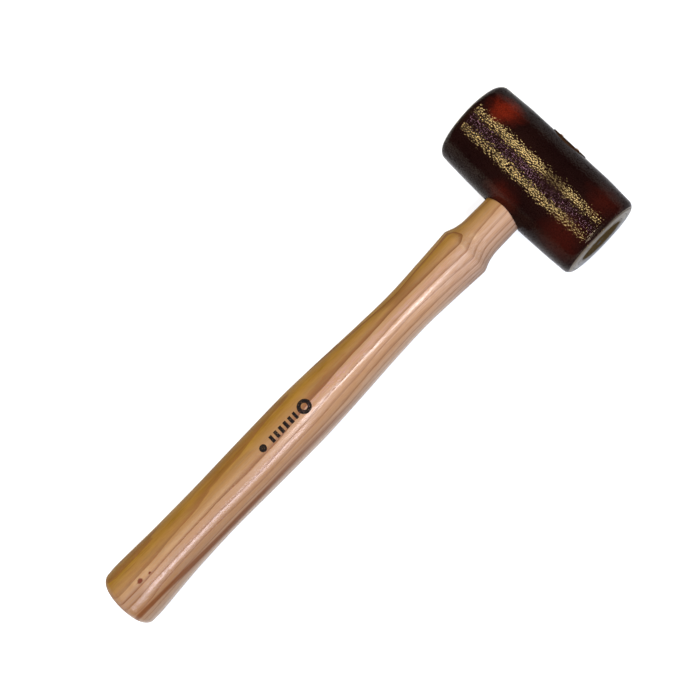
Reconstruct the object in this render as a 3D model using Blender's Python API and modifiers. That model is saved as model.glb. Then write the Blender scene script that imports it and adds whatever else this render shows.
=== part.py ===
"""A mallet with a turned ash handle and a head coiled from strips of rawhide. Metres, +Z up.

The mallet is modelled level in its own bench frame: the handle's axis lies on X, its butt ends at
x = 0, and the head's axis is parallel to Y. An empty then lays it down on z = 0, where the barrel
and the thick end of the grip both touch.
"""

import math

import bmesh
import bpy
from mathutils import Matrix, Vector

# Driving dimensions
HEAD_RADIUS = 0.0252
HEAD_END_RADIUS = 0.0240
HEAD_LENGTH = 0.0926
HEAD_RIM_ROUNDING = 0.0040
HEAD_X = 0.3056
NECK_RADIUS = 0.0112
GAP = 0.0003
TRIM = 0.002

# Handle: distance from the butt's end, and radius, where the outline turns
BUTT_ROUNDING = 0.0048
GRIP_STATIONS = [
    (0.0048, 0.0169),
    (0.0092, 0.0170),
    (0.0239, 0.0163),
    (0.0404, 0.0155),
    (0.0694, 0.0150),
    (0.0979, 0.0154),
    (0.1324, 0.0157),
    (0.1514, 0.0151),
    (0.1694, 0.0142),
    (0.1884, 0.0132),
    (0.2114, 0.0125),
    (0.2334, 0.01335),
    (0.2474, 0.0141),
    (0.2529, 0.01435),
    (0.2574, 0.0132),
    (0.2634, 0.0117),
    (0.2724, 0.0113),
    (0.2804, NECK_RADIUS),
]
THICKEST_GRIP = (0.0092, 0.0170)
BUTT_SWEEP = 0.00165
SWEEP_LENGTH = 0.085
LONG_STRETCH = 0.012
TENON_CHAMFER = 0.0005
TENON_END_RINGS = [0.0038, 0.0074]

# Rawhide strips
HIDE_THICKNESS = 0.0030
TURN_PITCH = HIDE_THICKNESS + GAP
COIL_HOLE_RADIUS = 0.0009
LAP_THICKNESS = 0.0008
CORE_TURNS = 4.6
SEAM_ANGLE = math.radians(-52.0)

# Eye: the hole through the barrel, flared at both mouths
EYE_RADIUS = NECK_RADIUS + GAP
EYE_MOUTH_RADIUS = 0.0126
EYE_FLARE_DEPTH = 0.0050

# Wedges: width along Y or Z, thickness at the top and at the tip, length along X
WOOD_WEDGE = {"width": 0.0212, "top": 0.0028, "tip": 0.0010, "length": 0.032}
STEEL_WEDGE = {"width": 0.0090, "top": 0.0018, "tip": 0.0006, "length": 0.016}
STEEL_WEDGE_Y = 0.0055
KERF_EXTRA_DEPTH = 0.004

# Seam nails, in a row along the lap
NAIL_HEAD_RADIUS = 0.0016
NAIL_HEAD_THICKNESS = 0.0007
NAIL_SHANK_RADIUS = 0.0007
NAIL_NECK = 0.0002
NAIL_TIP = 0.0012
NAIL_LENGTH = 0.0065
NAIL_PROUD = 0.00015
NAIL_ANGLE_INSET = math.radians(9.0)
NAIL_PLACES = [-0.036, -0.022, 0.022, 0.036]

HANDLE_STEPS = 32
BARREL_STEPS = 48
BARREL_ROWS = 6
RIM_STEPS = 3
BUTT_STEPS = 4
NAIL_STEPS = 12
POINTS_PER_TURN = 32
HANDLE_END_X = HEAD_X + HEAD_RADIUS


def clear_scene():
    for obj in list(bpy.data.objects):
        bpy.data.objects.remove(obj, do_unlink=True)


def new_collection(name):
    collection = bpy.data.collections.new(name)
    bpy.context.scene.collection.children.link(collection)
    return collection


def make_material(name, color, roughness, metallic=0.0, coat=0.0):
    material = bpy.data.materials.new(name)
    material.use_nodes = True
    shader = material.node_tree.nodes["Principled BSDF"]
    shader.inputs["Base Color"].default_value = (*color, 1.0)
    shader.inputs["Roughness"].default_value = roughness
    shader.inputs["Metallic"].default_value = metallic
    shader.inputs["Coat Weight"].default_value = coat
    return material


def add_object(name, data, collection, parent, matrix=None):
    obj = bpy.data.objects.new(name, data)
    collection.objects.link(obj)
    obj.parent = parent
    if matrix is not None:
        obj.matrix_local = matrix
    return obj


def hide_cutter(obj):
    obj.hide_render = True
    obj.display_type = "WIRE"


def smooth_radius(stations, x):
    """Radius at x on a curve through the stations that never overshoots them."""
    slopes = []
    for i in range(len(stations)):
        if i in (0, len(stations) - 1):
            slopes.append(0.0)
            continue
        before = (stations[i][1] - stations[i - 1][1]) / (stations[i][0] - stations[i - 1][0])
        after = (stations[i + 1][1] - stations[i][1]) / (stations[i + 1][0] - stations[i][0])
        slopes.append(0.0 if before * after <= 0 else 2 * before * after / (before + after))
    for i in range(len(stations) - 1):
        (x0, r0), (x1, r1) = stations[i], stations[i + 1]
        if x <= x1:
            span = x1 - x0
            t = max(0.0, (x - x0) / span)
            return (
                r0 * (1 + 2 * t) * (1 - t) ** 2
                + slopes[i] * span * t * (1 - t) ** 2
                + r1 * t * t * (3 - 2 * t)
                + slopes[i + 1] * span * t * t * (t - 1)
            )
    return stations[-1][1]


def arc(centre_x, centre_y, radius, start, end, count):
    """Points on an arc, angles in degrees."""
    points = []
    for i in range(count + 1):
        angle = math.radians(start + (end - start) * i / count)
        points.append((centre_x + radius * math.cos(angle), centre_y + radius * math.sin(angle)))
    return points


def add_turned(name, outline, steps, collection, parent, matrix):
    """A solid turned about its own Z axis from (radius, height) points that run down its outer side."""
    mesh = bpy.data.meshes.new(name)
    edges = [(i, i + 1) for i in range(len(outline) - 1)]
    mesh.from_pydata([(radius, 0.0, height) for radius, height in outline], edges, [])
    obj = add_object(name, mesh, collection, parent, matrix)
    screw = obj.modifiers.new("turn", "SCREW")
    screw.axis = "Z"
    screw.steps = steps
    screw.render_steps = steps
    screw.use_merge_vertices = True
    screw.merge_threshold = 0.00001
    screw.use_smooth_shade = True
    return obj


def add_boolean(obj, cutter, operation):
    boolean = obj.modifiers.new(cutter.name, "BOOLEAN")
    boolean.operation = operation
    boolean.object = cutter
    boolean.solver = "EXACT"


def add_tapered_block(name, width, top, tip, length, collection, parent, matrix):
    """A wedge that points down its own Z axis, with its top face at z = 0."""
    bm = bmesh.new()
    bmesh.ops.create_cube(bm, size=1.0)
    for vert in bm.verts:
        thickness = top if vert.co.z > 0 else tip
        vert.co = Vector((vert.co.x * thickness, vert.co.y * width, (vert.co.z - 0.5) * length))
    mesh = bpy.data.meshes.new(name)
    bm.to_mesh(mesh)
    bm.free()
    return add_object(name, mesh, collection, parent, matrix)


def sweep(x):
    """Sideways place of the handle's middle, which curves off gently towards the butt."""
    return -BUTT_SWEEP * max(0.0, 1 - x / SWEEP_LENGTH) ** 2


def trimmed(x, z):
    """Place along the handle after the tenon's end is sanded down to the barrel's own curve."""
    if x < HEAD_X:
        return x
    return x - HEAD_RADIUS + math.sqrt(HEAD_RADIUS**2 - z**2)


def handle_outline():
    """Radius and distance from the butt, from the tenon's end down to the butt."""
    outline = [(0.0, HANDLE_END_X)]
    outline += [(radius, HANDLE_END_X) for radius in TENON_END_RINGS]
    outline.append((NECK_RADIUS - TENON_CHAMFER, HANDLE_END_X))
    outline.append((NECK_RADIUS, HANDLE_END_X - TENON_CHAMFER))
    for i in range(len(GRIP_STATIONS) - 1, 0, -1):
        x1 = GRIP_STATIONS[i][0]
        x0 = GRIP_STATIONS[i - 1][0]
        pieces = 3 if x1 - x0 > LONG_STRETCH else 2
        for k in range(pieces):
            x = x1 + (x0 - x1) * k / pieces
            outline.append((smooth_radius(GRIP_STATIONS, x), x))
    butt_radius = GRIP_STATIONS[0][1]
    outline += arc(butt_radius - BUTT_ROUNDING, BUTT_ROUNDING, BUTT_ROUNDING, 0, -90, BUTT_STEPS)
    outline.append((0.0, 0.0))
    return outline


def add_handle(collection, parent):
    """Rings about the handle's axis, each carried sideways with the butt's sweep."""
    outline = handle_outline()
    bm = bmesh.new()
    rings = []
    for radius, x in outline[1:-1]:
        ring = []
        for k in range(HANDLE_STEPS):
            angle = 2 * math.pi * k / HANDLE_STEPS
            y, z = radius * math.cos(angle), radius * math.sin(angle)
            ring.append(bm.verts.new((trimmed(x, z), y + sweep(x), z)))
        rings.append(ring)
    top = bm.verts.new((HANDLE_END_X, 0.0, 0.0))
    bottom = bm.verts.new((0.0, sweep(0.0), 0.0))
    for k in range(HANDLE_STEPS):
        after = (k + 1) % HANDLE_STEPS
        bm.faces.new((top, rings[0][k], rings[0][after]))
        bm.faces.new((rings[-1][after], rings[-1][k], bottom))
        for high, low in zip(rings, rings[1:]):
            bm.faces.new((high[k], low[k], low[after], high[after]))
    mesh = bpy.data.meshes.new("handle")
    bm.to_mesh(mesh)
    bm.free()
    return add_object("handle", mesh, collection, parent)


def barrel_radius(y):
    """Radius of the barrel's side, which swells between its rims, at a distance from its middle."""
    swell = 1 - (y / (HEAD_LENGTH / 2 - HEAD_RIM_ROUNDING)) ** 2
    return HEAD_END_RADIUS + (HEAD_RADIUS - HEAD_END_RADIUS) * swell


def barrel_outline():
    """Radius and height of the barrel about its own axis, from its top end to its bottom end."""
    half = HEAD_LENGTH / 2
    rim = half - HEAD_RIM_ROUNDING
    edge = HEAD_END_RADIUS - HEAD_RIM_ROUNDING
    outline = [(0.0, half)]
    outline += arc(edge, rim, HEAD_RIM_ROUNDING, 90, 0, RIM_STEPS)
    for i in range(1, BARREL_ROWS):
        height = rim * (1 - 2 * i / BARREL_ROWS)
        outline.append((barrel_radius(height), height))
    outline += arc(edge, -rim, HEAD_RIM_ROUNDING, 0, -90, RIM_STEPS)
    outline.append((0.0, -half))
    return outline


def eye_outline():
    """Radius and height of the eye's cutter, flared towards both mouths."""
    reach = HEAD_RADIUS + TRIM
    flare = HEAD_RADIUS - EYE_FLARE_DEPTH
    wide = EYE_RADIUS + (EYE_MOUTH_RADIUS - EYE_RADIUS) * (reach - flare) / EYE_FLARE_DEPTH
    return [
        (0.0, reach),
        (wide, reach),
        (EYE_RADIUS, flare),
        (EYE_RADIUS, -flare),
        (wide, -reach),
        (0.0, -reach),
    ]


def nail_outline(extra):
    """Radius and height of a nail below its head's top, or of its hole with extra room."""
    head = NAIL_HEAD_RADIUS + extra
    shank = NAIL_SHANK_RADIUS + extra
    under = -NAIL_HEAD_THICKNESS - extra
    top = 10 * extra
    return [
        (0.0, top),
        (head, top),
        (head, under),
        (shank, under - NAIL_NECK),
        (shank, NAIL_TIP - NAIL_LENGTH),
        (0.0, -NAIL_LENGTH - extra),
    ]


def seam_turns():
    """Turns of the spiral from its start to the lapped end at the seam."""
    return (HEAD_RADIUS - LAP_THICKNESS - COIL_HOLE_RADIUS) / TURN_PITCH


def spiral_point(turn, offset):
    """Point of the spiral's inner side at a turn count, moved outwards by offset."""
    angle = SEAM_ANGLE + 2 * math.pi * (turn - seam_turns())
    radius = COIL_HOLE_RADIUS + TURN_PITCH * turn + offset
    return (radius * math.cos(angle), radius * math.sin(angle))


def add_hide_strip(name, first_turn, last_turn, collection, parent, matrix):
    """A wound strip: the spiral's outline, as a flat curve extruded to more than the head's length."""
    count = max(8, round((last_turn - first_turn) * POINTS_PER_TURN))
    turns = [first_turn + (last_turn - first_turn) * i / count for i in range(count + 1)]
    outline = [spiral_point(turn, HIDE_THICKNESS) for turn in turns]
    outline += [spiral_point(turn, 0.0) for turn in reversed(turns)]
    curve = bpy.data.curves.new(name + "_outline", "CURVE")
    curve.dimensions = "2D"
    curve.fill_mode = "BOTH"
    curve.extrude = HEAD_LENGTH / 2 + TRIM
    spline = curve.splines.new("POLY")
    spline.points.add(len(outline) - 1)
    for point, (x, y) in zip(spline.points, outline):
        point.co = (x, y, 0.0, 1.0)
    spline.use_cyclic_u = True
    drawn = bpy.data.objects.new(name + "_outline", curve)
    collection.objects.link(drawn)
    mesh = bpy.data.meshes.new_from_object(drawn.evaluated_get(bpy.context.evaluated_depsgraph_get()))
    bpy.data.objects.remove(drawn, do_unlink=True)
    bm = bmesh.new()
    bm.from_mesh(mesh)
    bmesh.ops.remove_doubles(bm, verts=bm.verts, dist=0.00001)
    bmesh.ops.recalc_face_normals(bm, faces=bm.faces)
    bm.to_mesh(mesh)
    bm.free()
    mesh.name = name
    return add_object(name, mesh, collection, parent, matrix)


def shade(obj):
    """Smooth shading with crisp edges on the mesh that the modifiers start from."""
    obj.data.shade_smooth()
    obj.data.set_sharp_from_angle(angle=math.radians(35.0))


def along_x(x=0.0, y=0.0, z=0.0):
    """Puts an object's own Z axis on +X."""
    return Matrix.Translation((x, y, z)) @ Matrix.Rotation(math.pi / 2, 4, "Y")


def along_y(x=0.0, y=0.0, z=0.0):
    """Puts an object's own Z axis on -Y, with its X axis on X and its Y axis on Z."""
    return Matrix.Translation((x, y, z)) @ Matrix.Rotation(math.pi / 2, 4, "X")


def nail_matrix(y):
    """Puts a nail's own Z axis on the barrel's outward direction near the seam."""
    angle = SEAM_ANGLE - NAIL_ANGLE_INSET
    radius = barrel_radius(y) + NAIL_PROUD
    place = Vector((HEAD_X + radius * math.cos(angle), y, radius * math.sin(angle)))
    return Matrix.Translation(place) @ Matrix.Rotation(math.pi / 2 - angle, 4, "Y")


def add_wooden_wedge(handle, parts, cutters, parent):
    """The wedge in the end of the tenon, and the sawn kerf that it spreads."""
    wedge = add_tapered_block(
        "wooden_wedge", collection=parts, parent=parent, matrix=along_x(x=HANDLE_END_X), **WOOD_WEDGE
    )
    kerf = add_tapered_block(
        "kerf_cutter",
        width=4 * NECK_RADIUS,
        top=WOOD_WEDGE["top"] + 2 * GAP,
        tip=WOOD_WEDGE["tip"] + 2 * GAP,
        length=WOOD_WEDGE["length"] + KERF_EXTRA_DEPTH,
        collection=cutters,
        parent=parent,
        matrix=along_x(x=HANDLE_END_X + GAP),
    )
    add_boolean(handle, kerf, "DIFFERENCE")
    return wedge


def add_steel_wedge(name, y, split_parts, parts, cutters, parent):
    """A small wedge driven across the wooden one, with a slot for it in what it splits."""
    turn = Matrix.Rotation(math.pi / 2, 4, "Z")
    wedge = add_tapered_block(
        name, collection=parts, parent=parent, matrix=along_x(x=HANDLE_END_X, y=y) @ turn, **STEEL_WEDGE
    )
    slot = add_tapered_block(
        f"{name}_slot",
        width=STEEL_WEDGE["width"] + 2 * GAP,
        top=STEEL_WEDGE["top"] + 2 * GAP,
        tip=STEEL_WEDGE["tip"] + 2 * GAP,
        length=STEEL_WEDGE["length"] + 2 * GAP,
        collection=cutters,
        parent=parent,
        matrix=along_x(x=HANDLE_END_X + GAP, y=y) @ turn,
    )
    for part in split_parts:
        add_boolean(part, slot, "DIFFERENCE")
    return wedge


def lay_down(base, parts):
    """Tilts the mallet until barrel and grip both touch z = 0, and centres its box on the origin."""
    rise = HEAD_RADIUS - THICKEST_GRIP[1]
    tilt = math.asin(rise / (HEAD_X - THICKEST_GRIP[0]))
    base.matrix_world = Matrix.Rotation(-tilt, 4, "Y")
    bpy.context.view_layer.update()
    depsgraph = bpy.context.evaluated_depsgraph_get()
    corners = []
    for part in parts:
        mesh = part.evaluated_get(depsgraph).to_mesh()
        corners += [part.matrix_world @ vert.co for vert in mesh.vertices]
    low = [min(corner[axis] for corner in corners) for axis in range(3)]
    high = [max(corner[axis] for corner in corners) for axis in range(3)]
    base.location = (-(low[0] + high[0]) / 2, -(low[1] + high[1]) / 2, -low[2])


def build():
    clear_scene()
    mallet = new_collection("rawhide_mallet")
    cutters = new_collection("cutters")
    base = bpy.data.objects.new("mallet_base", None)
    mallet.objects.link(base)

    ash = make_material("ash", (0.56, 0.33, 0.17), 0.34, coat=0.4)
    hide = make_material("lacquered_hide", (0.045, 0.008, 0.006), 0.24, coat=0.8)
    wedge_wood = make_material("wedge_wood", (0.36, 0.19, 0.09), 0.55)
    steel = make_material("steel", (0.42, 0.41, 0.40), 0.42, metallic=1.0)

    handle = add_handle(mallet, base)
    head_place = along_y(x=HEAD_X)
    barrel = add_turned("barrel_cutter", barrel_outline(), BARREL_STEPS, cutters, base, head_place)
    eye = add_turned("eye_cutter", eye_outline(), HANDLE_STEPS, cutters, base, along_x(x=HEAD_X))

    joint_turns = GAP / (2 * math.pi * (COIL_HOLE_RADIUS + TURN_PITCH * CORE_TURNS))
    wrap_start = CORE_TURNS + joint_turns
    core = add_hide_strip("hide_core", 0.0, CORE_TURNS, mallet, base, head_place)
    wrap = add_hide_strip("hide_outer_wrap", wrap_start, seam_turns(), mallet, base, head_place)
    for strip in (core, wrap):
        add_boolean(strip, barrel, "INTERSECT")
        add_boolean(strip, eye, "DIFFERENCE")

    nails = []
    for number, y in enumerate(NAIL_PLACES, start=1):
        place = nail_matrix(y)
        nails.append(add_turned(f"seam_nail_{number}", nail_outline(0.0), NAIL_STEPS, mallet, base, place))
        hole = add_turned(f"nail_hole_{number}", nail_outline(GAP), NAIL_STEPS, cutters, base, place)
        add_boolean(wrap, hole, "DIFFERENCE")

    wood_wedge = add_wooden_wedge(handle, mallet, cutters, base)
    steel_wedges = [
        add_steel_wedge("steel_wedge_near", -STEEL_WEDGE_Y, (handle, wood_wedge), mallet, cutters, base),
        add_steel_wedge("steel_wedge_far", STEEL_WEDGE_Y, (handle, wood_wedge), mallet, cutters, base),
    ]

    finishes = {ash: [handle], hide: [core, wrap], wedge_wood: [wood_wedge], steel: steel_wedges + nails}
    parts = []
    for material, pieces in finishes.items():
        for piece in pieces:
            piece.data.materials.append(material)
            shade(piece)
            parts.append(piece)
    for obj in cutters.objects:
        hide_cutter(obj)
    lay_down(base, parts)


build()
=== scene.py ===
"""Looks for the rawhide mallet: fine meshes, materials, floor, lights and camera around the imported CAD.

Every piece is modelled in the CAD's bench frame, in metres: the handle's axis on X with its butt's end
at x = 0, and the head's axis parallel to Y. One matrix then lays the pieces down as the CAD lies.
"""

import math

import bmesh
import bpy
import numpy as np
from mathutils import Matrix, Vector, noise

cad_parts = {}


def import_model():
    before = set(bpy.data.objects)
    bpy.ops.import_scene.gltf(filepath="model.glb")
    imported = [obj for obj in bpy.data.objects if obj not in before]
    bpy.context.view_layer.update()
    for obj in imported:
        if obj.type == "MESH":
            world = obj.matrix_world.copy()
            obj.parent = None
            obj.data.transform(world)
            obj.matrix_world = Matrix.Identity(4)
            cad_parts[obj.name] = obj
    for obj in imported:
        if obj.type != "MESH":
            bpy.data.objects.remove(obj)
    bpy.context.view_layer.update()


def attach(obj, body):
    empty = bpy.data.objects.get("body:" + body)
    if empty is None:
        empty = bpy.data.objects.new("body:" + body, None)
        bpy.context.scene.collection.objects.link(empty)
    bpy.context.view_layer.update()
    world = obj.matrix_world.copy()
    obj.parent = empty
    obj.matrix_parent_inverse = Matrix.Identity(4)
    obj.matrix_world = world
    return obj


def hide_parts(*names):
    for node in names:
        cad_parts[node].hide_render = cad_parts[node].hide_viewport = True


# The CAD's driving dimensions
HEAD_RADIUS = 0.0252
HEAD_END_RADIUS = 0.0240
HEAD_LENGTH = 0.0926
HEAD_RIM_ROUNDING = 0.0040
HEAD_X = 0.3056
HANDLE_END_X = HEAD_X + HEAD_RADIUS
NECK_RADIUS = 0.0112
THICKEST_GRIP = (0.0092, 0.0170)
BUTT_SWEEP = 0.00165
SWEEP_LENGTH = 0.085
HIDE_THICKNESS = 0.0030
TURN_PITCH = 0.0033
COIL_HOLE_RADIUS = 0.0009
LAP_THICKNESS = 0.0008
CORE_TURNS = 4.6
SEAM_ANGLE = math.radians(-52.0)
EYE_RADIUS = 0.0115
EYE_MOUTH_RADIUS = 0.0126
EYE_FLARE_DEPTH = 0.0050
WOOD_WEDGE = {"width": 0.0212, "top": 0.0028, "tip": 0.0010, "length": 0.032}
STEEL_WEDGE = {"width": 0.0090, "top": 0.0018, "tip": 0.0006, "length": 0.016}
STEEL_WEDGE_Y = 0.0055
NAIL_ANGLE = SEAM_ANGLE - math.radians(9.0)
NAIL_PLACES = [-0.036, -0.022, 0.022, 0.036]
NAIL_HEAD_RADIUS = 0.0016
NAIL_SHANK_RADIUS = 0.0007
NAIL_LENGTH = 0.0065
BUTT_X = -0.16523

# Handle outline: distance from the butt's end, and radius
BUTT_ROUNDING = 0.0048
GRIP_STATIONS = [
    (0.0048, 0.0169),
    (0.0092, 0.0170),
    (0.0239, 0.0163),
    (0.0404, 0.0155),
    (0.0694, 0.0150),
    (0.0979, 0.0154),
    (0.1324, 0.0157),
    (0.1514, 0.0151),
    (0.1694, 0.0142),
    (0.1884, 0.0132),
    (0.2114, 0.0125),
    (0.2334, 0.01335),
    (0.2474, 0.0141),
    (0.2537, 0.01442),
    (0.2556, 0.01385),
    (0.2579, 0.0129),
    (0.2609, 0.01205),
    (0.2654, 0.01145),
    (0.2724, 0.0113),
    (0.2804, NECK_RADIUS),
]


# ---------------------------------------------------------------- geometry helpers


def bench_matrix():
    """Lays the bench frame down so that barrel and grip both touch z = 0, as the CAD does."""
    tilt = math.asin((HEAD_RADIUS - THICKEST_GRIP[1]) / (HEAD_X - THICKEST_GRIP[0]))
    lift = HEAD_RADIUS - HEAD_X * math.sin(tilt)
    return Matrix.Translation((BUTT_X, 0.0, lift)) @ Matrix.Rotation(-tilt, 4, "Y")


def smooth_radius(stations, x):
    """Radius at x on a curve through the stations that never overshoots them."""
    slopes = []
    for i in range(len(stations)):
        if i in (0, len(stations) - 1):
            slopes.append(0.0)
            continue
        before = (stations[i][1] - stations[i - 1][1]) / (stations[i][0] - stations[i - 1][0])
        after = (stations[i + 1][1] - stations[i][1]) / (stations[i + 1][0] - stations[i][0])
        slopes.append(0.0 if before * after <= 0 else 2 * before * after / (before + after))
    for i in range(len(stations) - 1):
        (x0, r0), (x1, r1) = stations[i], stations[i + 1]
        if x <= x1:
            span = x1 - x0
            t = max(0.0, (x - x0) / span)
            return (
                r0 * (1 + 2 * t) * (1 - t) ** 2
                + slopes[i] * span * t * (1 - t) ** 2
                + r1 * t * t * (3 - 2 * t)
                + slopes[i + 1] * span * t * t * (t - 1)
            )
    return stations[-1][1]


def arc(centre_x, centre_y, radius, start, end, count):
    """Points on an arc, angles in degrees."""
    points = []
    for i in range(count + 1):
        angle = math.radians(start + (end - start) * i / count)
        points.append((centre_x + radius * math.cos(angle), centre_y + radius * math.sin(angle)))
    return points


def turned_mesh(name, outline, segments):
    """A closed mesh turned about Z from (radius, height) points, top to bottom, both ends on the axis."""
    angles = np.arange(segments) * 2 * math.pi / segments
    rows = np.array(outline[1:-1])
    verts = np.empty((len(rows), segments, 3))
    verts[:, :, 0] = rows[:, :1] * np.cos(angles)
    verts[:, :, 1] = rows[:, :1] * np.sin(angles)
    verts[:, :, 2] = rows[:, 1:]
    verts = [tuple(v) for v in verts.reshape(-1, 3)]
    top, bottom = len(verts), len(verts) + 1
    verts += [(0.0, 0.0, outline[0][1]), (0.0, 0.0, outline[-1][1])]
    faces = []
    for k in range(segments):
        after = (k + 1) % segments
        faces.append((top, k, after))
        for row in range(len(rows) - 1):
            a, b = row * segments, (row + 1) * segments
            faces.append((a + k, b + k, b + after, a + after))
        last = (len(rows) - 1) * segments
        faces.append((last + k, bottom, last + after))
    mesh = bpy.data.meshes.new(name)
    mesh.from_pydata(verts, [], faces)
    return mesh


def add_piece(name, mesh, matrix=None):
    obj = bpy.data.objects.new(name, mesh)
    bpy.context.scene.collection.objects.link(obj)
    if matrix is not None:
        obj.matrix_world = matrix
    return obj


def bake_matrix(obj):
    """Moves an object's place into its mesh, so that its own frame is the bench frame."""
    obj.data.transform(obj.matrix_world)
    obj.matrix_world = Matrix.Identity(4)
    return obj


def along_x(x=0.0, y=0.0, z=0.0):
    return Matrix.Translation((x, y, z)) @ Matrix.Rotation(math.pi / 2, 4, "Y")


def along_y(x=0.0, y=0.0, z=0.0):
    return Matrix.Translation((x, y, z)) @ Matrix.Rotation(math.pi / 2, 4, "X")


def cut(obj, cutter, operation="DIFFERENCE", remove=True):
    """Applies one boolean and, unless the cutter is needed again, removes it."""
    boolean = obj.modifiers.new("cut", "BOOLEAN")
    boolean.operation = operation
    boolean.object = cutter
    boolean.solver = "EXACT"
    bpy.context.view_layer.update()
    evaluated = obj.evaluated_get(bpy.context.evaluated_depsgraph_get())
    mesh = bpy.data.meshes.new_from_object(evaluated)
    obj.modifiers.clear()
    old = obj.data
    obj.data = mesh
    bpy.data.meshes.remove(old)
    if remove:
        bpy.data.objects.remove(cutter, do_unlink=True)
    return obj


def tapered_block(name, width, top, tip, length, matrix, bevel=0.0):
    """A wedge that points down its own Z axis, with its top face at z = 0."""
    bm = bmesh.new()
    bmesh.ops.create_cube(bm, size=1.0)
    for vert in bm.verts:
        thickness = top if vert.co.z > 0 else tip
        vert.co = Vector((vert.co.x * thickness, vert.co.y * width, (vert.co.z - 0.5) * length))
    if bevel:
        bmesh.ops.bevel(
            bm, geom=bm.edges[:], offset=bevel, segments=3, profile=0.6, affect="EDGES", clamp_overlap=True
        )
    mesh = bpy.data.meshes.new(name)
    bm.to_mesh(mesh)
    bm.free()
    return bake_matrix(add_piece(name, mesh, matrix))


def positions(mesh):
    co = np.empty(len(mesh.vertices) * 3, np.float32)
    mesh.vertices.foreach_get("co", co)
    return co.reshape(-1, 3).astype(float)


def set_positions(mesh, co):
    mesh.vertices.foreach_set("co", co.astype(np.float32).ravel())
    mesh.update()


def smooth(obj, angle=35.0):
    obj.data.shade_smooth()
    obj.data.set_sharp_from_angle(angle=math.radians(angle))


# ---------------------------------------------------------------- handle


def handle_outline():
    """Radius and height of the handle, from the tenon's end down to the butt, at a fine step."""
    outline = [(0.0, HANDLE_END_X)]
    for radius in np.linspace(0.08, 0.94, 14) * NECK_RADIUS:
        outline.append((radius, HANDLE_END_X))
    chamfer = 0.0005
    outline += arc(NECK_RADIUS - chamfer, HANDLE_END_X - chamfer, chamfer, 90, 0, 4)
    for x in np.arange(HANDLE_END_X - 0.004, 0.2814, -0.004):
        outline.append((NECK_RADIUS, x))
    for x in np.arange(0.2804, BUTT_ROUNDING + 0.0004, -0.0008):
        outline.append((smooth_radius(GRIP_STATIONS, x), x))
    butt_radius = GRIP_STATIONS[0][1]
    outline += arc(butt_radius - BUTT_ROUNDING, BUTT_ROUNDING, BUTT_ROUNDING, 0, -90, 14)
    for radius in np.linspace(0.95, 0.1, 9) * (butt_radius - BUTT_ROUNDING):
        outline.append((radius, 0.0))
    outline.append((0.0, 0.0))
    return outline


def sweep(x):
    """Sideways place of the handle's middle, which curves off gently towards the butt."""
    return -BUTT_SWEEP * max(0.0, 1 - x / SWEEP_LENGTH) ** 2


def trimmed(x, z):
    """Place along the handle after the tenon's end is sanded down to the barrel's own curve."""
    return x if x < HEAD_X else x - HEAD_RADIUS + math.sqrt(HEAD_RADIUS**2 - z**2)


def make_handle():
    mesh = turned_mesh("ash_handle", handle_outline(), 144)
    handle = bake_matrix(add_piece("ash_handle", mesh, along_x()))
    co = positions(handle.data)
    for point in co:
        point[0] = trimmed(point[0], point[2])
        point[1] += sweep(point[0])
    set_positions(handle.data, co)
    kerf_gap = 0.0002
    kerf = tapered_block(
        "kerf",
        4 * NECK_RADIUS,
        WOOD_WEDGE["top"] + kerf_gap,
        WOOD_WEDGE["tip"] + kerf_gap,
        WOOD_WEDGE["length"] + 0.004,
        along_x(x=HANDLE_END_X + 0.0003),
    )
    cut(handle, kerf)
    co = positions(handle.data)
    for i, point in enumerate(co):
        if point[0] < 0.283:
            away = Vector((0.0, point[1] - sweep(point[0]), point[2]))
            if away.length > 1e-6:
                place = Vector((point[0] * 28.0, point[1] * 150.0, point[2] * 150.0))
                away.normalize()
                co[i] += np.array(away) * 0.00006 * noise.noise(place)
    set_positions(handle.data, co)
    smooth(handle, 32.0)
    return handle


# ---------------------------------------------------------------- head


def barrel_radius(y):
    swell = 1 - (y / (HEAD_LENGTH / 2 - HEAD_RIM_ROUNDING)) ** 2
    return HEAD_END_RADIUS + (HEAD_RADIUS - HEAD_END_RADIUS) * swell


def barrel_outline(side_step, end_step):
    """Radius and height of the barrel about its own axis, with a fine grid on its side and its ends."""
    half = HEAD_LENGTH / 2
    edge = HEAD_END_RADIUS - HEAD_RIM_ROUNDING
    rim = half - HEAD_RIM_ROUNDING
    ring = list(np.arange(end_step, edge - end_step / 2, end_step))
    outline = [(0.0, half)] + [(radius, half) for radius in ring]
    outline += arc(edge, rim, HEAD_RIM_ROUNDING, 90, 0, 12)
    rows = round(2 * rim / side_step)
    for i in range(1, rows):
        height = rim * (1 - 2 * i / rows)
        outline.append((barrel_radius(height), height))
    outline += arc(edge, -rim, HEAD_RIM_ROUNDING, 0, -90, 12)
    outline += [(radius, -half) for radius in reversed(ring)]
    outline.append((0.0, -half))
    return outline


def seam_turns():
    return (HEAD_RADIUS - LAP_THICKNESS - COIL_HOLE_RADIUS) / TURN_PITCH


def spiral_point(turn, offset):
    angle = SEAM_ANGLE + 2 * math.pi * (turn - seam_turns())
    radius = COIL_HOLE_RADIUS + TURN_PITCH * turn + offset
    return (radius * math.cos(angle), radius * math.sin(angle))


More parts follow.
